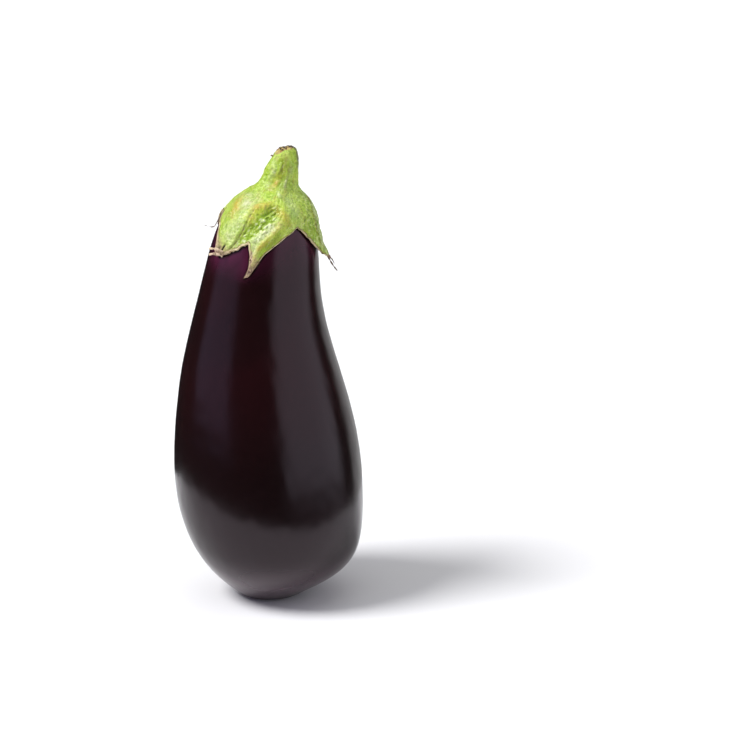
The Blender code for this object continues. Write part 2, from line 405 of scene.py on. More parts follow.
def round_body(name, rows, bottom, top, attributes=()):
    """A closed mesh of rings of points from its lower pole to its upper one. Attributes are named numbers,
    with a value for each ring point."""
    count, sides = rows.shape[:2]
    points = np.concatenate([np.reshape(bottom, (1, 3)), rows.reshape(-1, 3), np.reshape(top, (1, 3))])
    ring = 1 + np.arange(sides)
    beside = np.roll(ring, -1)
    offsets = sides * np.arange(count - 1)[:, None]
    corners = (ring, beside, beside + sides, ring + sides)
    quads = np.stack([corner + offsets for corner in corners], axis=-1)
    last = sides * (count - 1)
    top_index = len(points) - 1
    faces = [(0, int(b), int(a)) for a, b in zip(ring, beside)]
    faces += quads.reshape(-1, 4).tolist()
    faces += [(int(a) + last, int(b) + last, top_index) for a, b in zip(ring, beside)]
    mesh = bpy.data.meshes.new(name)
    mesh.from_pydata(points.tolist(), [], faces)
    for label, values in dict(attributes).items():
        padded = np.concatenate([[values[0].mean()], values.ravel(), [values[-1].mean()]])
        mesh.attributes.new(label, "FLOAT", "POINT").data.foreach_set("value", padded.astype(np.float32))
    mesh.shade_smooth()
    mesh.update()
    piece = bpy.data.objects.new(name, mesh)
    bpy.context.scene.collection.objects.link(piece)
    return piece


# Settings that many nodes share
COLOURS = {"data_type": "RGBA"}
SMOOTHLY = {"interpolation_type": "SMOOTHSTEP"}


def add_node(tree, kind, settings=(), inputs=()):
    """Adds a node with its settings. An input takes a value, or another node's output to link."""
    node = tree.nodes.new(kind)
    for name, value in dict(settings).items():
        setattr(node, name, value)
    for name, value in dict(inputs).items():
        if isinstance(value, bpy.types.NodeSocket):
            tree.links.new(value, node.inputs[name])
        else:
            node.inputs[name].default_value = value
    return node


def new_material(name):
    """An empty material and its node tree."""
    material = bpy.data.materials.new(name)
    material.use_nodes = True
    tree = material.node_tree
    tree.nodes.clear()
    return material, tree


def finish_material(tree, shader):
    """Links the shader to the material's output."""
    output = add_node(tree, "ShaderNodeOutputMaterial")
    tree.links.new(shader.outputs["BSDF"], output.inputs["Surface"])


def aubergine_skin(settings):
    """Aubergine skin: dark purple cells under a thin waxy cuticle, grown taut. To the eye it is nearly
    black, with red in it where light gets in, purple by the calyx, and one soft clear gloss over all. The
    purple by the calyx is partly painted light, with a painted shadow right at the calyx's edge, and the
    paler foot is partly a painted reflection of the lit floor."""
    material, tree = new_material("aubergine_skin")
    place = add_node(tree, "ShaderNodeTexCoord").outputs["Object"]
    colour = linear(settings.skin)
    for where, tint in (
        ("redder", "#20080b"),
        # Paler towards the foot: partly the skin's own matt tone, partly a painted reflection of the lit
        # floor
        ("pale_foot_and_floor_glow", "#4e4247"),
        # Purple by the calyx: partly the skin's own colour, partly painted light on the left, with a painted
        # shadow at the calyx's edge
        ("young_skin_and_painted_light", settings.young_skin),
        ("scar", "#8a6a48"),
    ):
        mask = add_node(tree, "ShaderNodeAttribute", {"attribute_name": where})
        inputs = {0: mask.outputs["Fac"], 6: colour, 7: linear(tint)}
        colour = add_node(tree, "ShaderNodeMix", COLOURS, inputs).outputs[2]
    # Skin cells about 0.4 mm across, drawn three times as coarse so that they show at all
    inputs = {"Vector": place, "Scale": 1 / (1.2 * MM), "Detail": 3.0}
    cells = add_node(tree, "ShaderNodeTexNoise", inputs=inputs)
    inputs = {"Height": cells.outputs["Fac"], "Strength": 0.25, "Distance": 0.03 * MM}
    bump = add_node(tree, "ShaderNodeBump", inputs=inputs)
    inputs = {
        "Base Color": colour,
        "Roughness": 0.2,
        "IOR": 1.45,
        "Specular Tint": linear("#fff0f9"),
        "Normal": bump.outputs["Normal"],
    }
    shader = add_node(tree, "ShaderNodeBsdfPrincipled", inputs=inputs)
    finish_material(tree, shader)
    return material


def calyx_tissue(settings):
    """Calyx tissue: living green leaf flesh with a waxy skin, dried to thin tan husk at its margins and
    tips. To the eye it is a bright yellow green, mottled and finely pitted, paler on its ridges, glossy in
    its hollow. Its colour also holds painted light: highlights on its ridges, flanks and wrinkle crests, and
    shade in its hollow, dents, wrinkle valleys, underside and on its right side, away from the key light."""
    material, tree = new_material("calyx_tissue")
    place = add_node(tree, "ShaderNodeTexCoord").outputs["Object"]
    fibre_x = add_node(tree, "ShaderNodeAttribute", {"attribute_name": "fibre_x"})
    fibre_y = add_node(tree, "ShaderNodeAttribute", {"attribute_name": "fibre_y"})
    axes = add_node(tree, "ShaderNodeSeparateXYZ", inputs={0: place})
    # Fibres run up the calyx and the stem, five times as long as they are wide
    height = add_node(tree, "ShaderNodeMath", {"operation": "MULTIPLY"}, {0: axes.outputs["Z"], 1: 1 / 5})
    inputs = {"X": fibre_x.outputs["Fac"], "Y": fibre_y.outputs["Fac"], "Z": height.outputs["Value"]}
    along_fibres = add_node(tree, "ShaderNodeCombineXYZ", inputs=inputs).outputs["Vector"]
    # Patches of lighter green 8 mm across, blotches of deeper green and olive stains of 3 to 5 mm, and a
    # grain of pits and flecks about 1 mm across, which on the real thing is nearer 0.5 mm
    grains = {}
    sizes = (
        ("patches", place, 8),
        ("blotches", place, 5),
        ("stains", place, 3.2),
        ("flecks", place, 1.3),
        ("fibres", along_fibres, 1.3),
    )
    for label, vector, size in sizes:
        inputs = {"Vector": vector, "Scale": 1 / (size * MM), "Detail": 3.0, "Roughness": 0.65}
        grains[label] = add_node(tree, "ShaderNodeTexNoise", inputs=inputs).outputs["Fac"]
    pits = add_node(tree, "ShaderNodeTexVoronoi", inputs={"Vector": place, "Scale": 1 / (1.25 * MM)})
    grains["pits"] = pits.outputs["Distance"]
    # Each layer lies over those before it: the grain that breaks it up, where that begins and is full, its
    # strength, the place where it grows, if not everywhere, and its colour
    layers = (
        ("patches", 0.44, 0.66, 1.0, None, settings.pale_green),
        ("blotches", 0.50, 0.36, 0.6, None, "#8fba1e"),
        ("flecks", 0.1, 0.65, 0.8, "side_shade", "#82a61a"),
        ("stains", 0.50, 0.66, 0.5, None, "#b0a040"),
        ("fibres", 0.50, 0.66, 0.35, None, "#d8e08e"),
        ("fibres", 0.48, 0.36, 0.4, None, settings.dark_green),
        ("flecks", 0.1, 0.60, 0.8, "sheen", "#d4d2ac"),
        ("flecks", 0.50, 0.36, 0.5, None, settings.dark_green),
        ("flecks", 0.56, 0.70, 0.5, None, "#e6ecb6"),
        ("flecks", 0.49, 0.38, 0.9, "side_shade", "#5c7a1c"),
        ("flecks", 0.54, 0.64, 0.8, "side_shade", "#dce8a4"),
        ("flecks", 0.1, 0.65, 0.8, "grey", "#bccc8c"),
        ("pits", 0.30, 0.12, 0.6, None, "#5a7620"),
        ("pits", 0.36, 0.16, 0.7, "side_shade", "#4e6818"),
        ("flecks", 0.1, 0.65, 0.8, "olive", "#83911c"),
        # Pale: partly the tissue's own lighter green, partly a painted highlight on ridges, flanks and spots
        # that face the light
        ("flecks", 0.1, 0.55, 0.9, "pale", "#e9edc4"),
        ("flecks", 0.50, 0.38, 0.6, "pale", "#98b248"),
        ("flecks", 0.1, 0.65, 0.9, "warm", "#ccb84a"),
        ("stains", 0.46, 0.60, 0.6, "warm", "#c49c48"),
        # Hollow: a deeper green in the hollow and the dents, partly painted shade
        ("flecks", 0.1, 0.65, 0.7, "hollow", "#94b42c"),
        # Painted shade in the wrinkles' valleys, then painted highlights on their crests
        ("flecks", 0.2, 0.6, 0.8, "valley_shade", "#6c8c18"),
        ("flecks", 0.3, 0.55, 1.0, "glint", "#eef4c8"),
        ("flecks", 0.36, 0.6, 1.0, "groove", "#5e5020"),
        ("fibres", 0.3, 0.6, 1.0, "brown", "#6e5a28"),
        ("flecks", 0.1, 0.5, 1.3, "margin", "#d6c59a"),
        ("stains", 0.50, 0.64, 1.0, "margin", "#8a6a46"),
        ("flecks", 0.3, 0.55, 1.0, "outline", "#6a5228"),
        ("flecks", 0.1, 0.45, 1.3, "dry", "#ccb090"),
        ("fibres", 0.47, 0.57, 0.9, "dry", "#6a4c36"),
        ("flecks", 0.50, 0.58, 0.9, "dry", "#442e20"),
        ("flecks", 0.1, 0.5, 1.2, "slit", "#1c120a"),
        ("flecks", 0.2, 0.50, 1.1, "cut", "#ccb870"),
        ("flecks", 0.48, 0.58, 0.9, "cut", "#a07440"),
        # The cut's crust, and a darker streak down the stem's right side
        ("flecks", 0.1, 0.5, 1.2, "crust_and_dark_streak", "#3e2a1a"),
        # Under: the underside, seen only at the lobes' edges, painted dark brown as painted shade
        ("flecks", 0.0, 0.1, 1.0, "under", "#5a4428"),
    )
    shade = linear(settings.green)
    for label, start, full, strength, where, tint in layers:
        inputs = {"Value": grains[label], "From Min": start, "From Max": full, "To Max": strength}
        share = add_node(tree, "ShaderNodeMapRange", SMOOTHLY, inputs).outputs["Result"]
        if where:
            mask = add_node(tree, "ShaderNodeAttribute", {"attribute_name": where})
            clamped = {"operation": "MULTIPLY", "use_clamp": True}
            inputs = {0: share, 1: mask.outputs["Fac"]}
            share = add_node(tree, "ShaderNodeMath", clamped, inputs).outputs["Value"]
        inputs = {0: share, 6: shade, 7: linear(tint)}
        shade = add_node(tree, "ShaderNodeMix", COLOURS, inputs).outputs[2]
    gloss = add_node(tree, "ShaderNodeAttribute", {"attribute_name": "hollow"})
    inputs = {"Value": gloss.outputs["Fac"], "To Min": 0.32, "To Max": 0.2}
    waxy = add_node(tree, "ShaderNodeMapRange", inputs=inputs)
    dull = add_node(tree, "ShaderNodeAttribute", {"attribute_name": "dry"})
    inputs = {"Value": dull.outputs["Fac"], "To Min": waxy.outputs["Result"], "To Max": 0.75}
    roughness = add_node(tree, "ShaderNodeMapRange", inputs=inputs)
    inputs = {}
    for label, depth in (("pits", 0.4), ("flecks", 0.55), ("fibres", 0.4)):
        inputs.update({"Height": grains[label], "Strength": 0.7, "Distance": depth * MM})
        bump = add_node(tree, "ShaderNodeBump", inputs=inputs)
        inputs["Normal"] = bump.outputs["Normal"]
    inputs = {
        "Base Color": shade,
        "Roughness": roughness.outputs["Result"],
        "IOR": 1.45,
        "Subsurface Weight": 0.06,
        "Subsurface Radius": (1.0, 1.0, 0.3),
        "Subsurface Scale": 0.6 * MM,
        "Normal": bump.outputs["Normal"],
    }
    shader = add_node(tree, "ShaderNodeBsdfPrincipled", inputs=inputs)
    finish_material(tree, shader)
    return material


def dry_husk():
    """Dry husk: calyx tips withered to thin, brittle fibre. To the eye it is matt tan with brown streaks."""
    material, tree = new_material("dry_husk")
    place = add_node(tree, "ShaderNodeTexCoord").outputs["Object"]
    inputs = {"Vector": place, "Scale": 1 / (1.5 * MM), "Detail": 4.0, "Roughness": 0.7}
    streaks = add_node(tree, "ShaderNodeTexNoise", inputs=inputs)
    inputs = {"Value": streaks.outputs["Fac"], "From Min": 0.48, "From Max": 0.62}
    share = add_node(tree, "ShaderNodeMapRange", SMOOTHLY, inputs)
    inputs = {0: share.outputs["Result"], 6: linear("#dcc4a4"), 7: linear("#6e5038")}
    colour = add_node(tree, "ShaderNodeMix", COLOURS, inputs)
    browned = add_node(tree, "ShaderNodeAttribute", {"attribute_name": "browned"})
    inputs = {0: browned.outputs["Fac"], 6: colour.outputs[2], 7: linear("#4e3a28")}
    with_brown = add_node(tree, "ShaderNodeMix", COLOURS, inputs)
    inputs = {"Base Color": with_brown.outputs[2], "Roughness": 0.75}
    shader = add_node(tree, "ShaderNodeBsdfPrincipled", inputs=inputs)
    finish_material(tree, shader)
    return material


def studio_paper():
    """Studio paper: matt white background paper, rolled out flat."""
    material, tree = new_material("studio_paper")
    inputs = {"Base Color": linear("#f2f2f3"), "Roughness": 0.9, "Specular IOR Level": 0.2}
    shader = add_node(tree, "ShaderNodeBsdfPrincipled", inputs=inputs)
    finish_material(tree, shader)
    return material


def white_backdrop():
    """Lit backdrop: white cloth with its own light on it, evenly bright. The camera alone sees it."""
    material, tree = new_material("white_backdrop")
    shader = add_node(tree, "ShaderNodeEmission", inputs={"Color": linear("#ffffff"), "Strength": 1.05})
    output = add_node(tree, "ShaderNodeOutputMaterial")
    tree.links.new(shader.outputs["Emission"], output.inputs["Surface"])
    return material


def lobe_columns(sides):
    """For each column of the calyx: its azimuth at the stem, its azimuth and height at the lobe's edge, how
    far the edge stands off the skin, and how wide the husk is there."""
    per_side = sides // (2 * len(LOBES))
    shares = np.arange(per_side) / per_side
    edge = []
    for k, (notch, falling, tip, lift, rising, husks) in enumerate(LOBES):
        next_notch = LOBES[(k + 1) % len(LOBES)][0]
        if next_notch[0] < notch[0]:
            next_notch = (next_notch[0] + 360, next_notch[1])
        down = spline((notch, *falling, tip), shares)
        up = spline((tip, *rising, next_notch), shares)
        edge.append(np.column_stack([down, lift * shares**3, np.full(per_side, husks[0])]))
        edge.append(np.column_stack([up, lift * (1 - shares) ** 3, np.full(per_side, husks[1])]))
    edge_azimuth, edge_height, lift, husk = np.concatenate(edge).T
    azimuth = LOBES[0][0][0] + 360 * np.arange(sides) / sides
    turn = angle_of(edge_azimuth)
    place = np.stack([CALYX_RADIUS * np.cos(turn), CALYX_RADIUS * np.sin(turn), edge_height], axis=-1)
    ragged = 0.22 * ripples(place, 4.0, 41) + 0.12 * husk * ripples(place, 1.6, 42)
    return azimuth, edge_azimuth, (edge_height + ragged) * MM, lift * MM, husk * MM


def calyx_run(sides, reach):
    """The skin's points and normals under the calyx, and how far its underside stands off. Reach runs from
    0, by the stem, to 1, at the lobes' edge."""
    azimuth, edge_azimuth, edge_height, lift, _ = lobe_columns(sides)
    edge_share = share_at_height(edge_height)
    reach = np.asarray(reach, float)[:, None]
    share = CALYX_TOP_SHARE + (edge_share - CALYX_TOP_SHARE) * reach
    angle = angle_of(azimuth + (edge_azimuth - azimuth) * reach**COLUMN_SWING)
    curl = lift * np.clip((reach - CURL_START) / (1 - CURL_START), 0, 1) ** 2
    gap = (0.2 + 0.5 * smooth_step(0.6, 1.0, reach)) * MM
    return fruit_surface(share, angle), fruit_normal(share, angle), gap + curl


def calyx_sheet(sides, shares):
    """The stem's side and the calyx's upper side as one smooth sheet, from the cut to the lobes' edge."""
    settings = bpy.context.scene.eggplant_calyx
    angle = angle_of(lobe_columns(sides)[0])
    ribs = 1 + 0.05 * np.cos(STEM_RIBS * angle)
    size = settings.stem_radius
    guides = []
    for share, radius, centre_x, drop in STEM_RINGS:
        height = share * settings.stem_height
        guides.append(ring_points(height, radius * size * ribs, centre_x * size, drop * size, angle))
    reach = np.linspace(0, 1, SHEET_GUIDES)
    skin, normal, lift = calyx_run(sides, reach)
    taper = (1 - reach[:, None]) ** 0.7
    thickness = settings.edge_thickness + (settings.thickness - settings.edge_thickness) * taper
    guides.extend(skin + normal * (lift + thickness)[..., None])
    return spline(np.array(guides), shares)


def path_on_sheet(sheet, path, spacing=1.2 * MM):
    """A path of azimuths and heights laid on the sheet, as points in space about the spacing apart."""
    on_stem = min(height for _, height in path) > STEM_FOOT
    x, y, _ = np.moveaxis(sheet - on_stem * sheet.mean(axis=1, keepdims=True), -1, 0)
    azimuth = np.degrees(np.arctan2(y, x)) + 90
    radius = np.hypot(x, y)
    found = []
    for turn, height in path:
        off_turn = np.radians((azimuth - turn + 180) % 360 - 180) * radius
        off = np.hypot(off_turn, sheet[..., 2] - height * MM)
        found.append(sheet.reshape(-1, 3)[np.argmin(off)])
    length = np.linalg.norm(np.diff(found, axis=0), axis=1).sum()
    return spline(found, np.linspace(0, 1, max(3, int(length / spacing) + 1)))


def distance_to(points, line, closed=False):
    """Each point's distance to a line of straight pieces."""
    ends = np.roll(line, -1, axis=0) if closed else line[1:]
    nearest = np.full(points.shape[:-1], np.inf)
    for first, last in zip(line, ends):
        piece = last - first
        along = np.clip((points - first) @ piece / max(piece @ piece, 1e-18), 0, 1)
        nearest = np.minimum(nearest, np.linalg.norm(points - first - along[..., None] * piece, axis=-1))
    return nearest


def share_along(points, line):
    """How far along a line each point lies, from 0 at its start to 1 at its end."""
    nearest = np.full(points.shape[:-1], np.inf)
    share = np.zeros(points.shape[:-1])
    for k, spot in enumerate(line):
        off = np.linalg.norm(points - spot, axis=-1)
        share = np.where(off < nearest, k / (len(line) - 1), share)
        nearest = np.minimum(nearest, off)
    return share


def taper_ends(points, line, reach):
    """1 along a line's middle, falling to a quarter at its two ends."""
    ends = np.min([np.linalg.norm(points - end, axis=-1) for end in (line[0], line[-1])], axis=0)
    return 0.25 + 0.75 * smooth_step(0, reach, ends)


# The fruit's underside: its rings, as shares of the foot's radius, and how deep its dimple is
UNDERSIDE_SHARES = (0.12, 0.25, 0.4, 0.6, 0.85)
DIMPLE_DEPTH = 0.7 * MM


def fruit_tints(rows):
    """Where the fruit's skin changes colour, each from 0 to 1."""
    height = rows[..., 2]
    off_edge = distance_to(rows, calyx_run(EDGE_SIDES, [1.0])[0][0], closed=True)
    # Purple below the calyx, where it kept the light off the young skin, made stronger on the left as
    # painted light, and kept off a thin band right at its edge, which stays dark as a painted shadow
    young_skin_and_painted_light = 0.45 + 0.55 * smooth_step(0, 12 * MM, -rows[..., 0])
    young_skin_and_painted_light *= smooth_step(164 * MM, 176 * MM, height) * np.exp(-off_edge / (6 * MM))
    young_skin_and_painted_light *= smooth_step(0.2 * MM, 1.3 * MM, off_edge)
    uneven = 1 + smooth_step(-1, 1, ripples(rows, 50 * MM, 14))
    radius = np.hypot(rows[..., 0], rows[..., 1])
    return {
        "young_skin_and_painted_light": young_skin_and_painted_light,
        "redder": 0.4 * smooth_step(60 * MM, 130 * MM, height) * uneven,
        # Paler towards the foot: partly a painted reflection of the lit floor
        "pale_foot_and_floor_glow": smooth_step(32 * MM, 6 * MM, height),
        "scar": smooth_step(4.5 * MM, 3 * MM, radius) * (height < 10 * MM),
    }


def build_fruit():
    """The fruit's slightly uneven skin, on a flat ring round a dimple that holds the blossom scar."""
    settings = bpy.context.scene.eggplant_fruit
    angle = 2 * math.pi * np.arange(FRUIT_SIDES) / FRUIT_SIDES
    shares = np.linspace(0, 1, FRUIT_ROWS + 1)[:-1, None]
    skin = fruit_surface(shares, angle[None, :])
    normal = fruit_normal(shares, angle[None, :])
    fade = smooth_step(2 * MM, 30 * MM, skin[..., 2])
    wander = ripples(skin, 22 * MM, 11, (1, 1, 2.5)) + 0.35 * ripples(skin, 8 * MM, 12, (1, 1, 1.5))
    skin = skin + normal * (settings.unevenness * wander * fade)[..., None]
    foot = FOOT_SHARE * settings.belly_radius
    under = []
    for share in UNDERSIDE_SHARES:
        dimple = DIMPLE_DEPTH * smooth_step(0.8, 0.2, share)
        under.append(ring_points(dimple, share * foot, 0, 0, angle))
    rows = np.concatenate([under, skin])
    top = fruit_surface(1.0, 0.0)
    piece = round_body("fruit_skin", rows, (0, 0, DIMPLE_DEPTH), top, fruit_tints(rows))
    piece.data.materials.append(aubergine_skin(settings))
    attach(piece, "root")
    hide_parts("fruit")


TINTS = ("pale", "sheen", "warm", "hollow", "groove", "slit", "dry", "grey", "brown", "olive")


def calyx_folds(sheet):
    """The relief of the calyx's folds and hollow, in metres, and the tints that go with it."""
    masks = {label: np.zeros(sheet.shape[:2]) for label in TINTS}
    relief = np.zeros(sheet.shape[:2])
    for path, half_width, size, tint, strength in FOLDS:
        line = path_on_sheet(sheet, path)
        profile = np.exp(-((distance_to(sheet, line) / (half_width * MM)) ** 2))
        profile *= taper_ends(sheet, line, 2 * half_width * MM)
        relief += size * MM * profile
        masks[tint] = np.maximum(masks[tint], strength * profile)
    line = path_on_sheet(sheet, HOLLOW_AXIS)
    start_width, end_width = HOLLOW_HALF_WIDTHS
    half_width = (start_width + (end_width - start_width) * share_along(sheet, line)) * MM
    bowl = 1 - smooth_step(0.35, 1.1, distance_to(sheet, line) / half_width)
    masks["hollow"] = np.maximum(masks["hollow"], bowl)
    relief -= HOLLOW_DEPTH * MM * bowl
    # Wrinkles run along the hollow, fine ones over broader ones
    along = unit(line[-1] - line[0])
    across = np.cross(along, (0, -1, 0))
    turned = np.stack([sheet @ across, sheet @ along, sheet[..., 1]], axis=-1)
    beside_bowl = smooth_step(-11 * MM, -8 * MM, -distance_to(sheet, line))
    wrinkled = np.clip(bowl + 0.8 * masks["pale"] * beside_bowl, 0, 1)
    wrinkles = ripples(turned, 1.4 * MM, 21, (1, 2.0, 1.5))
    wrinkles += 0.4 * ripples(turned, 4.2 * MM, 28, (1, 1.6, 1.5))
    relief += 0.22 * MM * wrinkled * wrinkles
    # Painted highlights on the wrinkles' crests, strongest on the pale flank, and painted shade in their
    # valleys
    glint_strength = np.clip(0.6 * bowl + 1.7 * masks["pale"], 0, 1) * wrinkled
    masks["glint"] = glint_strength * smooth_step(0.2, 1.4, wrinkles)
    masks["valley_shade"] = wrinkled * (1 - smooth_step(-1.3, -0.1, wrinkles))
    return relief, masks


def round_edge(relief, off_edge):
    """The relief with the lobes' edge rounded over and the border behind it a little raised."""
    settings = bpy.context.scene.eggplant_calyx
    flesh = settings.thickness - settings.edge_thickness
    thickness = settings.edge_thickness + flesh * smooth_step(0, 20 * MM, off_edge)
    relief = np.maximum(relief, -0.65 * thickness) * smooth_step(0, 1.4 * MM, off_edge)
    inwards = np.clip(off_edge / (0.7 * MM), 0, 1)
    rounding = np.sqrt(1 - (1 - inwards) ** 2)
    border = np.exp(-(((off_edge / MM - 1.4) / 0.9) ** 2))
    return relief - 0.8 * settings.edge_thickness * (1 - rounding) + 0.1 * MM * border


def dry_places(sheet, off_edge):
    """Where the calyx has dried: its tips, the husk along its edge, and the brown line inside the husk."""
    tip_columns = (2 * np.arange(len(LOBES)) + 1) * CALYX_SIDES // (2 * len(LOBES))
    off_tip = np.min([np.linalg.norm(sheet - sheet[0, k], axis=-1) for k in tip_columns], axis=0)
    husk = lobe_columns(CALYX_SIDES)[4]
    uneven_edge = off_edge + 0.12 * MM * ripples(sheet, 3 * MM, 25)
    tips = smooth_step(5.0, 1.5, off_tip / MM + 0.6 * ripples(sheet, 3 * MM, 24))
    margin = smooth_step(1.2 * husk, 0.6 * husk, uneven_edge)
    outline = np.exp(-(((uneven_edge - 1.15 * husk) / (0.25 * MM)) ** 2))
    return tips, margin, outline


def cut_places(sheet, angle, shares):
    """Where the stem's cut is tan, where it is dark, and its relief in metres. The dark is a dry crust on
    the pith and along the rim at the back, and a streak down the stem's right side. They go by the stem's
    rings, counted from the cut's middle."""
    ring = (shares * (len(STEM_RINGS) + SHEET_GUIDES - 1))[:, None] + 0.2 * ripples(sheet, 2.5 * MM, 26)
    cut = smooth_step(1.0, 0.65, ring)
    # The dark: a crust on the pith and along the rim at the back, and a darker streak down the stem's right
    # side
    pith = smooth_step(0.6, 0.3, ring) * smooth_step(-0.7, 0.2, ripples(sheet, 1.5 * MM, 30))
    behind = smooth_step(-0.35, 0.1, np.cos(angle - math.radians(75)))
    streak = 0.8 * np.exp(-(((np.degrees(angle) + 8) / 12) ** 2))
    streak = streak * smooth_step(0.1, 0.6, ring) * smooth_step(4.0, 2.2, ring)
    rim = np.clip(behind * smooth_step(1.2, 0.8, ring) + streak, 0, 1)
    crust_and_dark_streak = np.maximum(pith, rim * smooth_step(-2.0, -0.4, ripples(sheet, 2 * MM, 27)))
    lip = 0.3 * behind * np.exp(-(((ring - 0.4) / 0.3) ** 2))
    return cut, crust_and_dark_streak, MM * (lip + 0.12 * cut * ripples(sheet, 1.4 * MM, 29))


def calyx_underside(angle):
    """The rings that the sheet hides, from the fruit's top under the stem out to the lobes' edge."""
    skin, normal, lift = calyx_run(CALYX_SIDES, np.linspace(0, 1, UNDERSIDE_ROWS))
    crown_shares = np.linspace(1, CALYX_TOP_SHARE, 6)[1:-1, None]
    crown = fruit_surface(crown_shares, angle) + fruit_normal(crown_shares, angle) * 0.2 * MM
    return np.concatenate([crown, skin + normal * lift[..., None]])


def build_calyx():
    """The calyx and the stem as one closed body: a sheet with all its relief, and a plain underside."""
    settings = bpy.context.scene.eggplant_calyx
    shares = 1 - np.linspace(0, 1, CALYX_ROWS) ** 1.3
    sheet = calyx_sheet(CALYX_SIDES, shares)
    normal = sheet_normals(sheet)
    off_edge = distance_to(sheet, sheet[0, ::2], closed=True)
    relief, masks = calyx_folds(sheet)
    height = sheet[..., 2]
    angle = angle_of(lobe_columns(CALYX_SIDES)[0])[None, :]
    # Faint ribs up the stem, and a slow and a fine unevenness all over
    on_stem = smooth_step(206 * MM, 213 * MM, height)
    round_stem = np.stack(np.broadcast_arrays(6 * np.cos(angle), 6 * np.sin(angle), 30 * height), axis=-1)
    relief += 0.12 * MM * on_stem * ripples(round_stem, 2.4, 31)
    relief += MM * (0.14 * ripples(sheet, 8 * MM, 22) + 0.07 * ripples(sheet, 2.2 * MM, 23))
    relief = round_edge(relief, off_edge)
    tips, masks["margin"], masks["outline"] = dry_places(sheet, off_edge)
    masks["dry"] = np.maximum(masks["dry"], tips)
    on_right = smooth_step(12 * MM, 27 * MM, sheet[..., 0])
    masks["side_shade"] = 0.7 * on_right * smooth_step(226 * MM, 205 * MM, height)
    masks["cut"], masks["crust_and_dark_streak"], rough_cut = cut_places(sheet, angle, shares)
    outside = sheet + normal * (relief + rough_cut)[..., None]
    underside = calyx_underside(angle)
    rows = np.concatenate([underside, outside])
    masks["fibre_x"] = np.broadcast_to(CALYX_RADIUS * MM * np.cos(angle), sheet.shape[:2])
    masks["fibre_y"] = np.broadcast_to(CALYX_RADIUS * MM * np.sin(angle), sheet.shape[:2])
    hidden = len(underside)
    attributes = {}
    for label, values in masks.items():
        attributes[label] = np.pad(values, ((hidden, 0), (0, 0)), "edge")
    # The underside is marked for its painted shade
    attributes["under"] = np.zeros(rows.shape[:2])
    attributes["under"][:hidden] = 1
    under_stem = fruit_surface(1.0, 0.0) + (0, 0, 0.2 * MM)
    piece = round_body("calyx_and_stem", rows, under_stem, outside[-1].mean(axis=0), attributes)
    piece.data.materials.append(calyx_tissue(settings))
    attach(piece, "root")
    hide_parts("calyx_with_stem")


def build_wisps():
    """Withered ends of the lobes and a burr at the stem's cut, each a flattened, tapering, lumpy strand."""
    material = dry_husk()
    sides, count = 10, 24
    turn = 2 * math.pi * np.arange(sides) / sides
    shares = np.linspace(0, 1, count)
    for number, (*points, thickness, browned) in enumerate(WISPS, start=1):
        line = spline(np.array(points) * MM, shares)
        along = unit(np.gradient(line, axis=0))
        flat = unit(np.cross(along, unit(line * (1, 1, 0))))
        out = np.cross(flat, along)
        lumps = 1 + 0.25 * ripples(line, 1.5 * MM, 50 + number)
        half = 0.5 * thickness * MM * (0.45 + 0.55 * (1 - shares) ** 0.8) * lumps
        ring = (
            line[:, None]
            + (half[:, None] * np.cos(turn))[..., None] * flat[:, None]
            + (0.45 * half[:, None] * np.sin(turn))[..., None] * out[:, None]
        )
        attributes = {"browned": np.full(ring.shape[:2], browned)}
        piece = round_body(f"dry_wisp_{number}", ring, line[0], line[-1] + along[-1] * half[-1], attributes)
        piece.data.materials.append(material)
        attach(piece, "root")


def add_stage_mesh(name, points, faces, material):
    mesh = bpy.data.meshes.new(name)
    mesh.from_pydata(points, [], faces)
    mesh.materials.append(material)
    item = bpy.data.objects.new(name, mesh)
    bpy.context.scene.collection.objects.link(item)
    return item


# The part of the floor that shows in the fruit's gloss: the middle of its oval and its half-widths, in
# metres. The floor ends just past the backdrop's dome.
LIT_FLOOR_MIDDLE = (-0.015, 0.03)
LIT_FLOOR_HALF_WIDTHS = (0.21, 0.178)
FLOOR_RADIUS = 4.0
DOME_RADIUS = 3.9


def build_floor():
    """White paper underfoot. Only its lit middle shows in the fruit's gloss."""
    sides = 96
    paper = studio_paper()
    turns = [2 * math.pi * k / sides for k in range(sides)]
    (x, y), (wide, deep) = LIT_FLOOR_MIDDLE, LIT_FLOOR_HALF_WIDTHS
    inner = [(x + wide * math.cos(t), y + deep * math.sin(t), 0) for t in turns]
    outer = [(FLOOR_RADIUS * math.cos(t), FLOOR_RADIUS * math.sin(t), 0) for t in turns]
    add_stage_mesh("floor_near", inner, [tuple(range(sides))], paper)
    ring = [(k, sides + k, sides + (k + 1) % sides, (k + 1) % sides) for k in range(sides)]
    floor_far = add_stage_mesh("floor_far", inner + outer, ring, paper)
    floor_far.visible_glossy = False


def build_backdrop():
    """A white dome behind everything, which only the camera sees."""
    bpy.ops.mesh.primitive_uv_sphere_add(segments=64, ring_count=32, radius=DOME_RADIUS)
    dome = bpy.context.object
    dome.name = "backdrop"
    dome.data.materials.append(white_backdrop())
    dome.visible_diffuse = False
    dome.visible_glossy = False
    dome.visible_transmission = False
    dome.visible_shadow = False


# The studio's soft lights: the azimuth of the middle, growing to the right from the camera's side, half the
# width and its softness, the elevation of the middle, half the height and its softness, all in degrees, then
# the brightness and the colour
SOFT_LIGHTS = (
    ((-71, 29, 9), (28, 32, 4), 0.55, "#d8d6ff"),
    ((66, 41, 7), (19, 32, 6), 1.0, "#f4f4ff"),
    ((160, 29, 4), (10, 80, 10), 0.65, "#ffffff"),
    ((0, 180, 1), (90, 36, 12), 0.9, "#ffffff"),
)
AMBIENT = 0.02


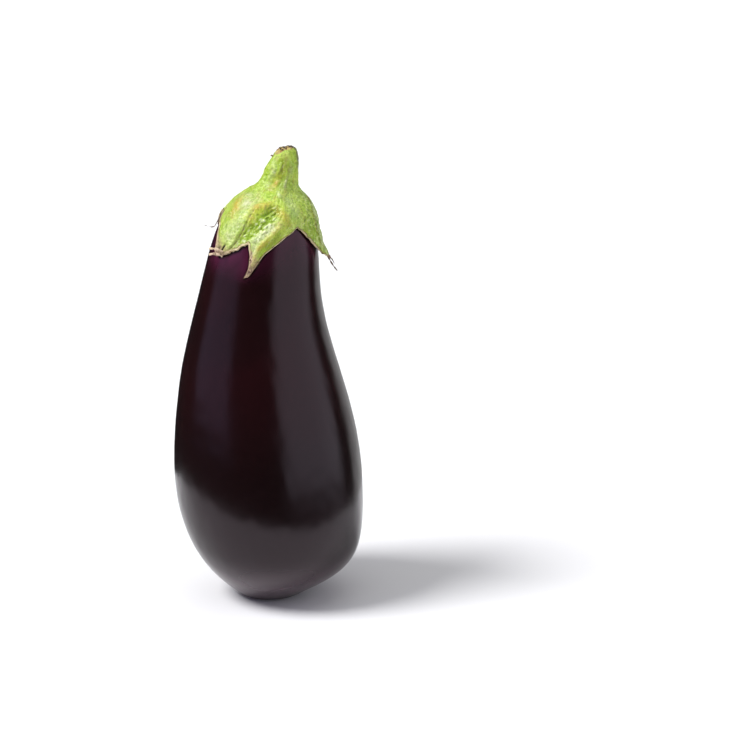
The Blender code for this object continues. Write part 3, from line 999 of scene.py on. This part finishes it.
def build_world():
    """A dim studio with large soft panels of light in it."""
    world = bpy.data.worlds.new("studio_light")
    world.use_nodes = True
    tree = world.node_tree
    tree.nodes.clear()
    direction = add_node(tree, "ShaderNodeTexCoord").outputs["Generated"]
    axes = add_node(tree, "ShaderNodeSeparateXYZ", inputs={0: direction})
    towards = add_node(tree, "ShaderNodeMath", {"operation": "MULTIPLY"}, {0: axes.outputs["Y"], 1: -1.0})
    inputs = {0: axes.outputs["X"], 1: towards.outputs["Value"]}
    turn = add_node(tree, "ShaderNodeMath", {"operation": "ARCTAN2"}, inputs)
    rise = add_node(tree, "ShaderNodeMath", {"operation": "ARCSINE"}, {0: axes.outputs["Z"]})
    colour = (AMBIENT, AMBIENT, AMBIENT, 1)
    for turn_span, rise_span, brightness, tint in SOFT_LIGHTS:
        inside = []
        for source, (middle, half, softness) in ((turn, turn_span), (rise, rise_span)):
            inputs = {0: source.outputs["Value"], 1: math.radians(middle)}
            off = add_node(tree, "ShaderNodeMath", {"operation": "SUBTRACT"}, inputs)
            inputs = {0: off.outputs["Value"], 1: math.pi, 2: -math.pi}
            wrapped = add_node(tree, "ShaderNodeMath", {"operation": "WRAP"}, inputs)
            away = add_node(tree, "ShaderNodeMath", {"operation": "ABSOLUTE"}, {0: wrapped.outputs["Value"]})
            inputs = {
                "Value": away.outputs["Value"],
                "From Min": math.radians(half + softness),
                "From Max": math.radians(half - softness),
            }
            inside.append(add_node(tree, "ShaderNodeMapRange", SMOOTHLY, inputs).outputs["Result"])
        share = add_node(tree, "ShaderNodeMath", {"operation": "MULTIPLY"}, {0: inside[0], 1: inside[1]})
        light = [brightness * level for level in linear(tint)[:3]]
        inputs = {0: share.outputs["Value"], 6: colour, 7: (*light, 1)}
        colour = add_node(tree, "ShaderNodeMix", COLOURS, inputs).outputs[2]
    background = add_node(tree, "ShaderNodeBackground", inputs={"Color": colour})
    output = add_node(tree, "ShaderNodeOutputWorld")
    tree.links.new(background.outputs["Background"], output.inputs["Surface"])
    bpy.context.scene.world = world


# The key light's direction, as the soft lights', and how wide it looks from the fruit, all in degrees
KEY_AZIMUTH = -72
KEY_ELEVATION = 52
KEY_WIDTH = 26


def build_key_light():
    """A broad lamp high on the left, far enough off to light the floor evenly."""
    settings = bpy.context.scene.eggplant_stage
    lamp = bpy.data.lights.new("key_light", "SUN")
    lamp.angle = math.radians(KEY_WIDTH)
    lamp.energy = settings.key_strength
    light = bpy.data.objects.new("key_light", lamp)
    turn = math.radians(KEY_AZIMUTH)
    rise = math.radians(KEY_ELEVATION)
    towards = Vector((math.sin(turn) * math.cos(rise), -math.cos(turn) * math.cos(rise), math.sin(rise)))
    light.rotation_euler = towards.to_track_quat("Z", "Y").to_euler()
    bpy.context.scene.collection.objects.link(light)


# The point that the camera looks at, right of the fruit, which stands left of the picture's middle
CAMERA_AIM = Vector((0.0537, 0, 0.1134))


def build_camera():
    """A long lens a little above the fruit, looking slightly down."""
    settings = bpy.context.scene.eggplant_stage
    camera = bpy.data.cameras.new("camera")
    camera.sensor_width = 36
    camera.lens = settings.lens
    camera.clip_end = 20
    holder = bpy.data.objects.new("camera", camera)
    elevation = settings.camera_elevation
    back = Vector((0, -math.cos(elevation), math.sin(elevation)))
    holder.location = CAMERA_AIM + back * settings.camera_distance
    holder.rotation_euler = (-back).to_track_quat("-Z", "Y").to_euler()
    bpy.context.scene.collection.objects.link(holder)
    bpy.context.scene.camera = holder


class EGGPLANT_OT_fruit(bpy.types.Operator):
    """Builds the fruit's skin in place of its plain solid"""

    bl_idname = "eggplant.fruit"
    bl_label = "Build the fruit"

    def execute(self, context):
        build_fruit()
        return {"FINISHED"}


class EGGPLANT_OT_calyx(bpy.types.Operator):
    """Builds the green calyx and its stem in place of their plain solid"""

    bl_idname = "eggplant.calyx"
    bl_label = "Build the calyx and stem"

    def execute(self, context):
        build_calyx()
        return {"FINISHED"}


class EGGPLANT_OT_wisps(bpy.types.Operator):
    """Builds the withered ends that curl away from the calyx"""

    bl_idname = "eggplant.wisps"
    bl_label = "Build the dry wisps"

    def execute(self, context):
        build_wisps()
        return {"FINISHED"}


class EGGPLANT_OT_stage(bpy.types.Operator):
    """Builds the floor, the backdrop, the soft light and the camera"""

    bl_idname = "eggplant.stage"
    bl_label = "Build the stage"

    def execute(self, context):
        build_floor()
        build_backdrop()
        build_world()
        build_key_light()
        build_camera()
        context.scene.view_settings.view_transform = "Standard"
        return {"FINISHED"}


class EGGPLANT_PT_panel(bpy.types.Panel):
    """Lists the eggplant's sizes and colours, and what builds it"""

    bl_idname = "EGGPLANT_PT_panel"
    bl_label = "Eggplant"
    bl_space_type = "VIEW_3D"
    bl_region_type = "UI"
    bl_category = "Eggplant"

    def draw(self, context):
        for operator, settings in PANEL_ROWS:
            box = self.layout.box()
            group = getattr(context.scene, settings)
            for name in group.bl_rna.properties.keys():
                if name not in ("rna_type", "name"):
                    box.prop(group, name)
            box.operator(operator)


PANEL_ROWS = (
    ("eggplant.fruit", "eggplant_fruit"),
    ("eggplant.calyx", "eggplant_calyx"),
    ("eggplant.wisps", "eggplant_calyx"),
    ("eggplant.stage", "eggplant_stage"),
)
SETTINGS = {
    "eggplant_fruit": FruitSettings,
    "eggplant_calyx": CalyxSettings,
    "eggplant_stage": StageSettings,
}
CLASSES = (
    *SETTINGS.values(),
    EGGPLANT_OT_fruit,
    EGGPLANT_OT_calyx,
    EGGPLANT_OT_wisps,
    EGGPLANT_OT_stage,
    EGGPLANT_PT_panel,
)


def register():
    for item in CLASSES:
        bpy.utils.register_class(item)
    for name, group in SETTINGS.items():
        setattr(bpy.types.Scene, name, PointerProperty(type=group))


def unregister():
    for name in SETTINGS:
        delattr(bpy.types.Scene, name)
    for item in reversed(CLASSES):
        bpy.utils.unregister_class(item)


def main():
    """Builds everything."""
    register()
    bpy.ops.eggplant.stage()
    bpy.ops.eggplant.fruit()
    bpy.ops.eggplant.calyx()
    bpy.ops.eggplant.wisps()


if __name__ == "__main__":
    main()
